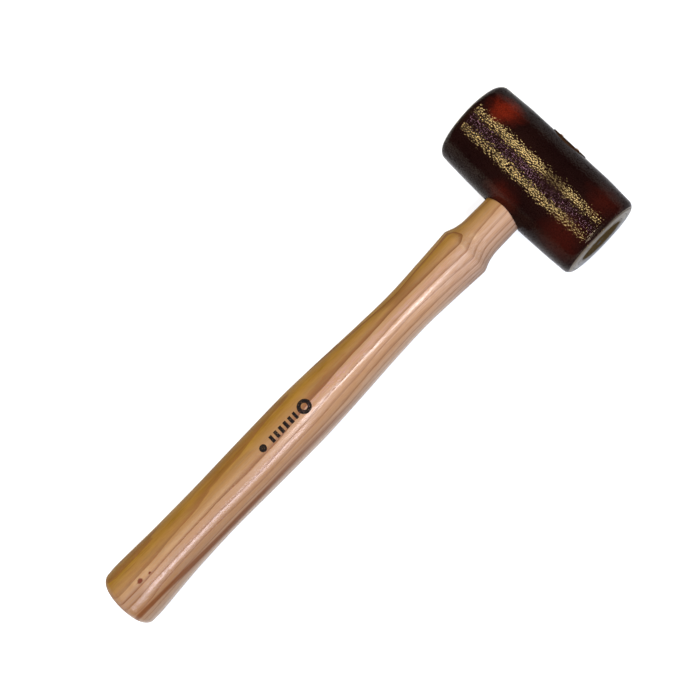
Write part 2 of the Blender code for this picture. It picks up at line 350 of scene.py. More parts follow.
def make_strip(name, first_turn, last_turn, points_per_turn):
    """A wound strip of hide, a little longer than the barrel, in the bench frame."""
    count = round((last_turn - first_turn) * points_per_turn)
    turns = [first_turn + (last_turn - first_turn) * i / count for i in range(count + 1)]
    squeeze = 0.00006
    outer = [spiral_point(turn, HIDE_THICKNESS + squeeze) for turn in turns]
    inner = [spiral_point(turn, -squeeze) for turn in turns]
    reach = HEAD_LENGTH / 2 + 0.002
    bm = bmesh.new()
    rings = []
    for y in (-reach, reach):
        rings.append(
            (
                [bm.verts.new((HEAD_X + x, y, z)) for x, z in outer],
                [bm.verts.new((HEAD_X + x, y, z)) for x, z in inner],
            )
        )
    (outer_low, inner_low), (outer_high, inner_high) = rings
    for i in range(count):
        bm.faces.new((outer_low[i], outer_low[i + 1], outer_high[i + 1], outer_high[i]))
        bm.faces.new((inner_low[i + 1], inner_low[i], inner_high[i], inner_high[i + 1]))
        bm.faces.new((outer_low[i + 1], outer_low[i], inner_low[i], inner_low[i + 1]))
        bm.faces.new((outer_high[i], outer_high[i + 1], inner_high[i + 1], inner_high[i]))
    for i in (0, count):
        bm.faces.new((outer_low[i], outer_high[i], inner_high[i], inner_low[i]))
    bmesh.ops.recalc_face_normals(bm, faces=bm.faces)
    mesh = bpy.data.meshes.new(name)
    bm.to_mesh(mesh)
    bm.free()
    return add_piece(name, mesh)


def eye_cutter():
    """The hole for the handle, flared and softened at both mouths."""
    reach = HEAD_RADIUS + 0.002
    flare = HEAD_RADIUS - EYE_FLARE_DEPTH
    outline = [(0.0, reach)]
    steps = 12
    for i in range(steps + 1):
        x = reach + (flare - reach) * i / steps
        t = (x - flare) / EYE_FLARE_DEPTH
        outline.append((EYE_RADIUS + (EYE_MOUTH_RADIUS - EYE_RADIUS) * t * t, x))
    outline += [(radius, -x) for radius, x in reversed(outline[1:])]
    outline.append((0.0, -reach))
    return bake_matrix(add_piece("eye", turned_mesh("eye", outline, 128), along_x(x=HEAD_X)))


def nail_matrix(y, proud):
    radius = barrel_radius(y) + proud
    place = Vector((HEAD_X + radius * math.cos(NAIL_ANGLE), y, radius * math.sin(NAIL_ANGLE)))
    return Matrix.Translation(place) @ Matrix.Rotation(math.pi / 2 - NAIL_ANGLE, 4, "Y")


def nail_outline(extra):
    """Radius and height of a nail with a low domed head, or of its hole with extra room."""
    head = NAIL_HEAD_RADIUS + extra
    shank = NAIL_SHANK_RADIUS + extra
    dome = 0.00025
    if extra:
        outline = [(0.0, 0.003), (head, 0.003), (head, -0.0007 - extra)]
    else:
        outline = [(0.0, dome)]
        for i in range(1, 7):
            angle = math.radians(15 * i)
            outline.append((head * math.sin(angle), dome * math.cos(angle)))
        outline.append((head, -0.0006))
    outline += [(shank, -0.0009 - extra), (shank, 0.0012 - NAIL_LENGTH), (0.0, -NAIL_LENGTH - extra)]
    return outline


def pebble(point):
    """Height of the hide's pebbled skin, in metres, at a point on the barrel's side."""
    p = Vector(point)
    warp = noise.noise_vector(p * 260.0) * 0.0007
    cell = noise.voronoi((p + warp) * 620.0)[0]
    grain = min(cell[1] - cell[0], 0.55) / 0.55
    swell = noise.noise(p * 95.0)
    wrinkle = noise.noise(p * 330.0)
    return 0.000012 * (grain - 0.75) + 0.00009 * swell + 0.00002 * wrinkle


def coil_face(point, radius, angle):
    """Depth below the barrel's end, in metres, of the coil's edge at a polar place on it."""
    turn = (radius - COIL_HOLE_RADIUS) / TURN_PITCH
    offset = (angle - SEAM_ANGLE) / (2 * math.pi) + seam_turns()
    across = (turn - offset) % 1.0
    from_gap = min(across, HIDE_THICKNESS / TURN_PITCH - across if across < 0.91 else 0.0)
    groove = math.exp(-((max(from_gap, 0.0) / 0.12) ** 2))
    p = Vector(point)
    turn_number = math.floor(turn - offset)
    level = noise.noise(Vector((turn_number * 3.7, angle * 0.8, point[1] * 40.0)))
    fibre = noise.noise(p * 900.0)
    return 0.00030 * groove + 0.00012 * (0.5 - 0.5 * level) + 0.00004 * fibre


def relief(obj, nail_points):
    """Moves the vertices of the barrel's side and ends, so that the hide's skin and edges are real."""
    co = positions(obj.data)
    half = HEAD_LENGTH / 2
    for i, (x, y, z) in enumerate(co):
        dx = x - HEAD_X
        radius = math.hypot(dx, z)
        if abs(abs(y) - half) < 2e-5:
            depth = coil_face((x, y, z), radius, math.atan2(z, dx))
            co[i, 1] = y - math.copysign(depth, y)
            continue
        if abs(y) < half - HEAD_RIM_ROUNDING:
            if abs(radius - barrel_radius(y)) > 6e-5:
                continue
            out = (dx / radius, 0.0, z / radius)
        else:
            along = abs(y) - (half - HEAD_RIM_ROUNDING)
            rim = math.hypot(radius - (HEAD_END_RADIUS - HEAD_RIM_ROUNDING), along)
            if abs(rim - HEAD_RIM_ROUNDING) > 6e-5:
                continue
            side = (radius - HEAD_END_RADIUS + HEAD_RIM_ROUNDING) / HEAD_RIM_ROUNDING
            out = (dx / radius * side, math.copysign(along / HEAD_RIM_ROUNDING, y), z / radius * side)
        from_eye = math.hypot(y, z) - EYE_MOUTH_RADIUS
        fade = min(1.0, max(0.0, from_eye / 0.0015))
        for place in nail_points:
            gone = math.dist((x, y, z), place) - NAIL_HEAD_RADIUS
            fade = min(fade, max(0.0, gone / 0.001))
        co[i] += np.array(out) * (pebble((x, y, z)) * fade)
    set_positions(obj.data, co)


def make_head():
    """The two wound strips, trimmed to the barrel, drilled for the handle and the seam nails."""
    step = 0.00042
    segments = round(2 * math.pi * HEAD_RADIUS / step)
    place = along_y(x=HEAD_X)
    fine = turned_mesh("barrel", barrel_outline(step, step), segments)
    barrel = bake_matrix(add_piece("barrel", fine, place))
    ends = turned_mesh("barrel_ends", barrel_outline(0.02, 0.0005), 220)
    ends_barrel = bake_matrix(add_piece("barrel_ends", ends, place))
    eye = eye_cutter()
    joint = 0.0003 / (2 * math.pi * (COIL_HOLE_RADIUS + TURN_PITCH * CORE_TURNS))
    core = make_strip("coiled_hide_core", 0.0, CORE_TURNS, 120)
    cut(core, ends_barrel, "INTERSECT")
    cut(core, eye, remove=False)
    wrap = make_strip("coiled_hide_wrap", CORE_TURNS + joint, seam_turns(), 220)
    cut(wrap, barrel, "INTERSECT")
    cut(wrap, eye)
    nails = []
    nail_points = []
    for number, y in enumerate(NAIL_PLACES, start=1):
        matrix = nail_matrix(y, 0.00005)
        nail_points.append(tuple(matrix.translation))
        hole = bake_matrix(add_piece("hole", turned_mesh("hole", nail_outline(0.0001), 32), matrix))
        cut(wrap, hole)
        nail_mesh = turned_mesh(f"seam_brad_{number}", nail_outline(0.0), 40)
        nail = bake_matrix(add_piece(f"seam_brad_{number}", nail_mesh, matrix))
        smooth(nail, 40.0)
        nails.append(nail)
    for strip in (core, wrap):
        relief(strip, nail_points)
        smooth(strip, 40.0)
    return core, wrap, nails


# ---------------------------------------------------------------- wedges


def make_wedges(handle):
    """The wedges in the tenon's end. Each steel one gets its own slot in the wood that it splits."""
    wood = tapered_block(
        "driven_wood_wedge",
        WOOD_WEDGE["width"],
        WOOD_WEDGE["top"],
        WOOD_WEDGE["tip"],
        WOOD_WEDGE["length"],
        along_x(x=HANDLE_END_X - 0.0002),
        bevel=0.00015,
    )
    steels = []
    gap = 0.0001
    turn = Matrix.Rotation(math.pi / 2, 4, "Z")
    for side, y in (("near", -STEEL_WEDGE_Y), ("far", STEEL_WEDGE_Y)):
        slot = tapered_block(
            "slot",
            STEEL_WEDGE["width"] + 2 * gap,
            STEEL_WEDGE["top"] + 2 * gap,
            STEEL_WEDGE["tip"] + 2 * gap,
            STEEL_WEDGE["length"] + 2 * gap,
            along_x(x=HANDLE_END_X + gap, y=y) @ turn,
        )
        cut(wood, slot, remove=False)
        cut(handle, slot)
        steels.append(
            tapered_block(
                f"driven_steel_wedge_{side}",
                STEEL_WEDGE["width"],
                STEEL_WEDGE["top"],
                STEEL_WEDGE["tip"],
                STEEL_WEDGE["length"],
                along_x(x=HANDLE_END_X, y=y) @ turn,
                bevel=0.0002,
            )
        )
    smooth(handle, 32.0)
    return wood, steels


# ---------------------------------------------------------------- material helpers


class Nodes:
    """A short way to write a material's node tree."""

    def __init__(self, name):
        self.material = bpy.data.materials.new(name)
        self.material.use_nodes = True
        self.tree = self.material.node_tree
        self.shader = self.tree.nodes["Principled BSDF"]
        coords = self.tree.nodes.new("ShaderNodeTexCoord")
        self.place = coords.outputs["Object"]

    def link(self, source, socket):
        if hasattr(source, "default_value") or hasattr(source, "is_output"):
            self.tree.links.new(source, socket)
        else:
            socket.default_value = source

    def new(self, kind, inputs=None, **settings):
        node = self.tree.nodes.new(kind)
        for key, value in settings.items():
            setattr(node, key, value)
        for key, value in (inputs or {}).items():
            self.link(value, node.inputs[key])
        return node

    def math(self, operation, a, b=0.0, clamp=False):
        node = self.new("ShaderNodeMath", {0: a, 1: b}, operation=operation, use_clamp=clamp)
        return node.outputs[0]

    def scaled(self, scale, offset=(0.0, 0.0, 0.0)):
        node = self.new("ShaderNodeMapping", {"Vector": self.place, "Scale": scale, "Location": offset})
        return node.outputs["Vector"]

    def noise(self, scale, detail=3.0, roughness=0.5, vector=None, distortion=0.0):
        inputs = {
            "Vector": vector if vector is not None else self.place,
            "Scale": scale,
            "Detail": detail,
            "Roughness": roughness,
            "Distortion": distortion,
        }
        return self.new("ShaderNodeTexNoise", inputs).outputs["Fac"]

    def ramp(self, value, stops, ease=False):
        """Colour at a value, from (position, colour) stops."""
        node = self.new("ShaderNodeValToRGB", {"Fac": value})
        if ease:
            node.color_ramp.interpolation = "EASE"
        elements = node.color_ramp.elements
        while len(elements) < len(stops):
            elements.new(0.5)
        for element, (position, color) in zip(elements, stops):
            element.position = position
            element.color = (*color, 1.0) if isinstance(color, tuple) else (color, color, color, 1.0)
        return node.outputs["Color"]

    def mix(self, factor, a, b, blend="MIX"):
        node = self.new("ShaderNodeMix", data_type="RGBA", blend_type=blend)
        self.link(factor, node.inputs[0])
        for key, value in ((6, a), (7, b)):
            value = (*value, 1.0) if isinstance(value, tuple) else value
            self.link(value, node.inputs[key])
        return node.outputs[2]

    def bump(self, height, strength, distance, normal=None):
        inputs = {"Height": height, "Strength": strength, "Distance": distance}
        if normal is not None:
            inputs["Normal"] = normal
        return self.new("ShaderNodeBump", inputs).outputs["Normal"]

    def split(self, vector=None):
        node = self.new("ShaderNodeSeparateXYZ", {"Vector": vector if vector is not None else self.place})
        return node.outputs[0], node.outputs[1], node.outputs[2]

    def finish(self, **inputs):
        for key, value in inputs.items():
            self.link(value, self.shader.inputs[key.replace("_", " ")])
        return self.material


# ---------------------------------------------------------------- materials


def ash_material():
    """Open-grained ash under clear lacquer. The rings are cylinders about a pith beside the handle."""
    n = Nodes("ash_wood")
    x, y, z = n.split()
    drift = n.noise(1.0, 2.0, 0.5, n.scaled((9.0, 60.0, 60.0)))
    ripple = n.noise(1.0, 2.0, 0.5, n.scaled((30.0, 240.0, 240.0)))
    pith_y = n.math("ADD", n.math("MULTIPLY", x, 0.050), -0.052)
    pith_z = n.math("ADD", n.math("MULTIPLY", x, -0.020), -0.048)
    dy = n.math("SUBTRACT", y, pith_y)
    dz = n.math("SUBTRACT", z, pith_z)
    squares = n.math("ADD", n.math("MULTIPLY", dy, dy), n.math("MULTIPLY", dz, dz))
    distance = n.math("SQRT", squares)
    wander = n.math("ADD", n.math("MULTIPLY", drift, 0.0065), n.math("MULTIPLY", ripple, 0.0009))
    rings = n.math("MULTIPLY", n.math("ADD", distance, wander), 300.0)
    phase = n.math("FRACT", rings)
    early = n.ramp(phase, [(0.0, 0.7), (0.05, 1.0), (0.13, 0.75), (0.30, 0.20), (0.45, 0.05), (0.95, 0.0)])
    number = n.math("FLOOR", rings)
    strength = n.new("ShaderNodeTexWhiteNoise", {"W": number}, noise_dimensions="1D").outputs["Value"]
    line = n.math("MULTIPLY", early, n.math("ADD", n.math("MULTIPLY", strength, 0.65), 0.35))
    pores = n.noise(1.0, 2.0, 0.6, n.scaled((110.0, 2600.0, 2600.0)))
    pore_mask = n.ramp(pores, [(0.0, 0.0), (0.52, 0.0), (0.66, 1.0)])
    pore = n.math("MULTIPLY", pore_mask, n.math("ADD", n.math("MULTIPLY", early, 0.75), 0.28))
    fibre = n.noise(1.0, 3.0, 0.6, n.scaled((45.0, 1500.0, 1500.0)))
    patch = n.noise(1.0, 2.0, 0.5, n.scaled((14.0, 45.0, 45.0), (3.0, 1.0, 2.0)))
    paler = n.new("ShaderNodeMapRange", {"Value": x, "From Min": 0.05, "From Max": 0.25}).outputs[0]
    deep = n.mix(patch, (0.172, 0.113, 0.067), (0.202, 0.156, 0.136))
    pale = n.mix(patch, (0.268, 0.190, 0.135), (0.302, 0.246, 0.229))
    base = n.mix(paler, deep, pale)
    # The handle's +Y side, away from the key light, is painted darker and yellower, mottled by noise: painted shade
    # on that side.
    shaded_side = n.new("ShaderNodeMapRange", {"Value": y, "From Min": -0.003, "From Max": 0.009}).outputs[0]
    blotch = n.noise(1.0, 4.0, 0.65, n.scaled((70.0, 500.0, 500.0)))
    shaded_side_tone = n.mix(n.ramp(blotch, [(0.35, 0.0), (0.65, 1.0)]), (0.123, 0.071, 0.0026), (0.183, 0.112, 0.010))
    base = n.mix(n.math("MULTIPLY", shaded_side, 0.95), base, shaded_side_tone)
    fibres = n.ramp(fibre, [(0.35, 0.02), (0.65, 0.42)])
    base = n.mix(fibres, base, (0.215, 0.112, 0.035))
    wood = n.mix(n.math("MULTIPLY", line, 0.92), base, (0.085, 0.033, 0.012))
    wood = n.mix(n.math("MULTIPLY", pore, 0.75), wood, (0.15, 0.06, 0.025))
    streak = dark_streak(n, x, y, z, drift)
    wood = n.mix(streak, wood, (0.100, 0.034, 0.009))
    knots = knot_mask(n)
    wood = n.mix(knots, wood, (0.070, 0.012, 0.007))
    ink = stamp_mask(n, x, y, z)
    wood = n.mix(ink, wood, (0.006, 0.006, 0.007))
    butt_edge = n.new("ShaderNodeMapRange", {"Value": x, "From Min": 0.0040, "From Max": 0.0012}).outputs[0]
    wood = n.mix(n.math("MULTIPLY", butt_edge, 0.45), wood, (0.24, 0.17, 0.13))
    wood = n.mix(n.math("MULTIPLY", n.math("LESS_THAN", x, 0.0012), 0.40), wood, (0.22, 0.11, 0.05))
    tenon_end = n.new("ShaderNodeMapRange", {"Value": x, "From Min": 0.3255, "From Max": 0.3275}).outputs[0]
    wood = n.mix(n.math("MULTIPLY", tenon_end, 0.96), wood, (0.018, 0.008, 0.004))
    fine = n.math("ADD", n.math("MULTIPLY", fibre, 0.4), n.math("MULTIPLY", pore, -1.0))
    normal = n.bump(fine, 0.35, 0.00012)
    film = n.noise(1.0, 3.0, 0.6, n.scaled((60.0, 700.0, 700.0)))
    film_height = n.math("ADD", film, n.math("MULTIPLY", pore, -0.5))
    film_normal = n.bump(film_height, 0.6, 0.00010)
    roughness = n.math("ADD", n.math("MULTIPLY", fibre, 0.18), 0.32)
    bare = n.new("ShaderNodeMapRange", {"Value": x, "From Min": 0.220, "From Max": 0.245}).outputs[0]
    thin = n.new("ShaderNodeMapRange", {"Value": y, "From Min": -0.0035, "From Max": 0.0020, "To Max": 0.88})
    bare = n.math("MAXIMUM", n.math("MULTIPLY", bare, 0.8), thin.outputs[0])
    heel = n.new("ShaderNodeMapRange", {"Value": x, "From Min": 0.020, "From Max": 0.013}).outputs[0]
    crown = n.new("ShaderNodeMapRange", {"Value": y, "From Min": -0.0105, "From Max": -0.0075}).outputs[0]
    bare = n.math("MAXIMUM", bare, n.math("MULTIPLY", heel, n.math("MULTIPLY", crown, 0.9)))
    bare = n.math("MAXIMUM", bare, n.math("MULTIPLY", streak, 0.8))
    dull = n.math("MAXIMUM", n.math("MAXIMUM", ink, knots), n.math("MAXIMUM", bare, tenon_end))
    gloss = n.math("MULTIPLY", n.math("SUBTRACT", 1.0, dull), 0.9)
    gloss = n.math("MULTIPLY", gloss, n.math("SUBTRACT", 1.0, n.math("MULTIPLY", line, 0.55)))
    return n.finish(
        Base_Color=wood,
        Roughness=roughness,
        Normal=normal,
        Specular_IOR_Level=n.math("MULTIPLY", gloss, 0.2),
        Coat_Weight=gloss,
        Coat_Roughness=0.22,
        Coat_IOR=1.40,
        Coat_Normal=film_normal,
        Coat_Tint=(0.98, 0.88, 0.70, 1.0),
        IOR=1.40,
    )


def dark_streak(n, x, y, z, drift):
    """A dark brown growth streak low on the grip's near side, strongest at the butt."""
    wander = n.math("MULTIPLY", n.math("SUBTRACT", drift, 0.5), 0.003)
    across = n.math("ABSOLUTE", n.math("ADD", n.math("ADD", y, 0.0134), wander))
    line = n.new("ShaderNodeMapRange", {"Value": across, "From Min": 0.0013, "From Max": 0.0006}).outputs[0]
    fade = n.new("ShaderNodeMapRange", {"Value": x, "From Min": 0.19, "From Max": 0.09}).outputs[0]
    upper = n.math("GREATER_THAN", z, 0.0)
    return n.math("MULTIPLY", n.math("MULTIPLY", line, 0.88), n.math("MULTIPLY", fade, upper))


# Places and radii of the pin knots near the butt
PIN_KNOTS = [((0.0244, -0.0024, 0.0161), 0.0014), ((0.0179, -0.0018, 0.0165), 0.0021)]


def knot_mask(n):
    """The small dark pin knots near the butt."""
    masks = []
    ragged = n.math("MULTIPLY", n.noise(700.0, 2.0), 0.0016)
    for place, radius in PIN_KNOTS:
        offset = n.new("ShaderNodeVectorMath", {0: n.place, 1: place}, operation="SUBTRACT").outputs[0]
        squash = n.new("ShaderNodeVectorMath", {0: offset, 1: (0.8, 1.3, 0.6)}, operation="MULTIPLY").outputs[0]
        away = n.new("ShaderNodeVectorMath", {0: squash}, operation="LENGTH").outputs["Value"]
        limits = {
            "Value": n.math("ADD", away, ragged),
            "From Min": radius * 1.25,
            "From Max": radius * 0.95,
            "To Max": 0.9,
        }
        masks.append(n.new("ShaderNodeMapRange", limits).outputs[0])
    return n.math("MAXIMUM", masks[0], masks[1])


STAMP_X = 0.1265
STAMP_LENGTH = 0.036
STAMP_RING = 0.0040
STAMP_STROKE = 0.0011
STAMP_BAR = 0.0021
STAMP_ANGLE = math.radians(3.0)
STAMP_GIRTH = 0.0157


def stamp_mask(n, x, y, z):
    """Ink of a plain printed stamp: a ring, a row of bars and a dot along the handle, no lettering."""
    turn = n.math("ARCTAN2", y, z)
    across = n.math("MULTIPLY", n.math("SUBTRACT", turn, STAMP_ANGLE), STAMP_GIRTH)
    along = n.math("SUBTRACT", x, STAMP_X)
    inks = []
    for centre, radius, stroke in (
        (STAMP_LENGTH / 2 - STAMP_RING, STAMP_RING - STAMP_STROKE, STAMP_STROKE),
        (STAMP_BAR - STAMP_LENGTH / 2, 0.0, STAMP_BAR),
    ):
        off = n.math("SUBTRACT", along, centre)
        squares = n.math("ADD", n.math("MULTIPLY", off, off), n.math("MULTIPLY", across, across))
        from_ring = n.math("ABSOLUTE", n.math("SUBTRACT", n.math("SQRT", squares), radius))
        inks.append(n.math("LESS_THAN", from_ring, stroke))
    stripe = n.math("FRACT", n.math("MULTIPLY", along, 1 / 0.0034))
    bar = n.math("LESS_THAN", stripe, 0.56)
    inside = n.math("LESS_THAN", along, STAMP_LENGTH / 2 - 2.4 * STAMP_RING)
    inside = n.math("MULTIPLY", inside, n.math("GREATER_THAN", along, 3.0 * STAMP_BAR - STAMP_LENGTH / 2))
    inside = n.math("MULTIPLY", inside, n.math("LESS_THAN", n.math("ABSOLUTE", across), STAMP_BAR))
    inks.append(n.math("MULTIPLY", bar, inside))
    ink = n.math("MAXIMUM", n.math("MAXIMUM", inks[0], inks[1]), inks[2])
    ink = n.math("MULTIPLY", ink, n.math("GREATER_THAN", z, 0.0))
    worn = n.ramp(n.noise(2200.0, 2.0), [(0.30, 0.55), (0.42, 1.0)])
    return n.math("MULTIPLY", ink, worn)


# Places on the barrel where the shellac is thin and its red shows, and their reach
RED_STAINS = [
    ((HEAD_X + 0.0135, 0.0315, 0.0210), 0.0125, 0.8),
    ((HEAD_X + 0.0130, -0.0360, 0.0200), 0.013, 0.15),
    ((HEAD_X - 0.0190, 0.0040, 0.0140), 0.013, 0.22),
    ((HEAD_X - 0.0150, -0.0330, 0.0170), 0.016, 0.13),
    ((HEAD_X - 0.0100, 0.0250, -0.0230), 0.018, 0.7),
    ((HEAD_X + 0.0150, -0.0150, -0.0200), 0.016, 0.6),
]


# A worn patch on the upper side of the barrel, where the shellac has lost its shine
DULL_PATCH = (HEAD_X + 0.0018, -0.0115, 0.0250)


def hide_material():
    """Pebbled rawhide soaked in dark oxblood shellac, with the grain of the skin in its gloss."""
    n = Nodes("oxblood_hide")
    cloud = n.noise(60.0, 3.0, 0.55)
    ragged = n.math("MULTIPLY", n.noise(120.0, 3.0, 0.6), 0.012)
    redness = None
    for place, reach, amount in RED_STAINS:
        away = n.new("ShaderNodeVectorMath", {0: n.place, 1: place}, operation="DISTANCE").outputs["Value"]
        away = n.math("ADD", away, ragged)
        limits = {"Value": away, "From Min": reach * 1.5, "From Max": reach * 0.5, "To Max": amount}
        stain = n.new("ShaderNodeMapRange", limits, interpolation_type="SMOOTHSTEP").outputs[0]
        redness = stain if redness is None else n.math("MAXIMUM", redness, stain)
    skin = {"Vector": n.place, "Scale": 900.0, "Randomness": 1.0}
    dome = n.new("ShaderNodeTexVoronoi", skin, feature="F1").outputs["Distance"]
    crease = n.new("ShaderNodeTexVoronoi", skin, feature="DISTANCE_TO_EDGE").outputs["Distance"]
    dark = n.mix(cloud, (0.0035, 0.0012, 0.0014), (0.009, 0.0030, 0.0027))
    tone = n.mix(redness, dark, (0.120, 0.011, 0.004))
    # The creases between the skin's pebbles are painted darker: painted shade in the creases.
    tone = n.mix(n.ramp(crease, [(0.0, 0.7), (0.10, 0.0)]), tone, (0.002, 0.0006, 0.0006))
    # A pale blue-grey band on the lower rim of the near face: worn shellac, and a painted reflection of the pale
    # floor.
    tone = n.mix(rim_wear_and_painted_reflection(n), tone, (0.24, 0.26, 0.27))
    pits = n.noise(1900.0, 2.0)
    x, y, z = n.split()
    handled = n.new("ShaderNodeMapRange", {"Value": z, "From Min": 0.012, "From Max": 0.0235, "To Min": 0.2})
    away = n.new("ShaderNodeVectorMath", {0: n.place, 1: DULL_PATCH}, operation="DISTANCE").outputs["Value"]
    patchy = n.new("ShaderNodeMapRange", {"Value": away, "From Min": 0.004, "From Max": 0.010, "To Min": 0.25})
    uneven = n.new("ShaderNodeMapRange", {"Value": cloud, "From Min": 0.35, "From Max": 0.65, "To Min": 0.6})
    shine = n.math("MULTIPLY", n.ramp(crease, [(0.02, 0.0), (0.13, 0.5)]), handled.outputs[0])
    shine = n.math("MULTIPLY", shine, n.math("MULTIPLY", patchy.outputs[0], uneven.outputs[0]))
    beyond = {"Value": x, "From Min": HEAD_X + 0.0180, "From Max": HEAD_X + 0.0105, "To Min": 0.3}
    shine = n.math("MULTIPLY", shine, n.new("ShaderNodeMapRange", beyond).outputs[0])
    height = n.math("ADD", n.math("MULTIPLY", n.math("MULTIPLY", dome, dome), -1.0), n.math("MULTIPLY", pits, 0.22))
    height = n.math("MULTIPLY", height, n.math("MAXIMUM", handled.outputs[0], 0.45))
    normal = n.bump(height, 1.0, 0.000116)
    roughness = n.math("ADD", n.math("MULTIPLY", cloud, 0.05), 0.05)
    return n.finish(
        Base_Color=tone,
        Roughness=roughness,
        Normal=normal,
        Specular_IOR_Level=shine,
        Specular_Tint=(1.0, 0.86, 0.53, 1.0),
        IOR=1.40,
    )


def rim_wear_and_painted_reflection(n):
    """Scuffing on the rim of the near striking face, where the shellac has worn thin, together with a painted
    reflection of the pale floor on its lower side.
    """
    x, y, z = n.split()
    near = n.math("MULTIPLY", n.math("ADD", y, HEAD_LENGTH / 2), 1 / 0.0032)
    ragged = n.math("ADD", near, n.math("MULTIPLY", n.noise(380.0, 3.0, 0.6), 0.9))
    scuff_and_reflection_limits = {"Value": ragged, "From Min": 1.25, "From Max": 0.35, "To Max": 0.85}
    return n.math("MULTIPLY", n.new("ShaderNodeMapRange", scuff_and_reflection_limits).outputs[0], lower_side(n, z))


def lower_side(n, z):
    """1 on the side of the head that is down, 0 on its upper side."""
    return n.new("ShaderNodeMapRange", {"Value": z, "From Min": 0.003, "From Max": -0.010}).outputs[0]


def coil_end_material():
    """The cut edges of the strips on the striking faces: olive-brown hide with darker glue lines."""
    n = Nodes("hide_edge")
    fibre = n.noise(1.0, 3.0, 0.6, n.scaled((700.0, 200.0, 700.0)))
    cloud = n.noise(70.0, 3.0, 0.55)
    tone = n.mix(cloud, (0.038, 0.024, 0.009), (0.080, 0.060, 0.026))
    tone = n.mix(n.math("MULTIPLY", fibre, 0.5), tone, (0.020, 0.011, 0.006))
    centre = (HEAD_X, 0.0, 0.0)
    offset = n.new("ShaderNodeVectorMath", {0: n.place, 1: centre}, operation="SUBTRACT").outputs[0]
    flat = n.new("ShaderNodeVectorMath", {0: offset, 1: (1.0, 0.0, 1.0)}, operation="MULTIPLY").outputs[0]
    away = n.new("ShaderNodeVectorMath", {0: flat}, operation="LENGTH").outputs["Value"]
    ragged = n.math("ADD", away, n.math("MULTIPLY", n.noise(300.0, 3.0, 0.6), 0.004))
    # A pale blue-grey ring on the lower half of the face: worn hide, and a painted reflection of the pale floor.
    scuff_and_reflection_limits = {"Value": ragged, "From Min": 0.0125, "From Max": 0.0190, "To Max": 0.75}
    face_wear_and_painted_reflection = n.math("MULTIPLY", n.new("ShaderNodeMapRange", scuff_and_reflection_limits).outputs[0], lower_side(n, n.split()[2]))
    tone = n.mix(face_wear_and_painted_reflection, tone, (0.155, 0.175, 0.185))
    normal = n.bump(fibre, 0.3, 0.0001)
    sealed = {"Value": ragged, "From Min": 0.0150, "From Max": 0.0200, "To Max": 0.3}
    shine = n.new("ShaderNodeMapRange", sealed).outputs[0]
    return n.finish(Base_Color=tone, Roughness=0.38, Normal=normal, Specular_IOR_Level=shine)


def wedge_wood_material():
    n = Nodes("wedge_end_grain")
    fibre = n.noise(1.0, 3.0, 0.6, n.scaled((90.0, 1400.0, 1400.0)))
    tone = n.mix(fibre, (0.060, 0.026, 0.011), (0.025, 0.011, 0.006))
    return n.finish(Base_Color=tone, Roughness=0.55, Normal=n.bump(fibre, 0.5, 0.0002))


def steel_material():
    n = Nodes("tarnished_steel")
    stain = n.noise(260.0, 4.0, 0.6)
    scratches = n.noise(1.0, 2.0, 0.5, n.scaled((400.0, 4000.0, 4000.0)))
    tone = n.ramp(stain, [(0.35, (0.055, 0.032, 0.022)), (0.60, (0.13, 0.115, 0.105))])
    roughness = n.math("ADD", n.math("MULTIPLY", scratches, 0.25), 0.28)
    return n.finish(Base_Color=tone, Metallic=1.0, Roughness=roughness, Normal=n.bump(scratches, 0.2, 0.0001))


# ---------------------------------------------------------------- stage


FLOOR_GLOW = (0.96, 0.985, 1.0, 1.0)
NEAR_GLOW = 0.74
FAR_GLOW = 0.93


def make_floor():
    mesh = bpy.data.meshes.new("pale_floor")
    size = 6.0
    mesh.from_pydata([(-size, -size, 0.0), (size, -size, 0.0), (size, size, 0.0), (-size, size, 0.0)], [], [(0, 1, 2, 3)])
    floor = add_piece("pale_floor", mesh)
    n = Nodes("pale_floor")
    mottle = n.noise(3.0, 2.0)
    tone = n.mix(mottle, (0.29, 0.33, 0.39), (0.31, 0.35, 0.41))
    middle = n.new("ShaderNodeVectorMath", {0: n.place}, operation="LENGTH").outputs["Value"]
    limits = {"Value": middle, "From Min": 0.45, "From Max": 1.8, "To Min": NEAR_GLOW, "To Max": FAR_GLOW}
    glow = n.new("ShaderNodeMapRange", limits, interpolation_type="SMOOTHSTEP").outputs[0]
    mesh.materials.append(
        n.finish(Base_Color=tone, Roughness=0.8, Emission_Color=FLOOR_GLOW, Emission_Strength=glow)
    )
    return floor


def aim(obj, target):
    obj.rotation_euler = (Vector(target) - obj.location).to_track_quat("-Z", "Y").to_euler()


def add_strip_light(name, target, direction, distance, size_x, size_y, watts, color):
    """An area light at a distance in a direction from its target. size_y lies along its own Y axis."""
    data = bpy.data.lights.new(name, "AREA")
    data.shape = "RECTANGLE"
    data.size = size_x
    data.size_y = size_y
    data.energy = watts
    data.color = color
    light = bpy.data.objects.new(name, data)
    bpy.context.scene.collection.objects.link(light)
    light.location = Vector(target) + Vector(direction).normalized() * distance
    aim(light, target)
    return light


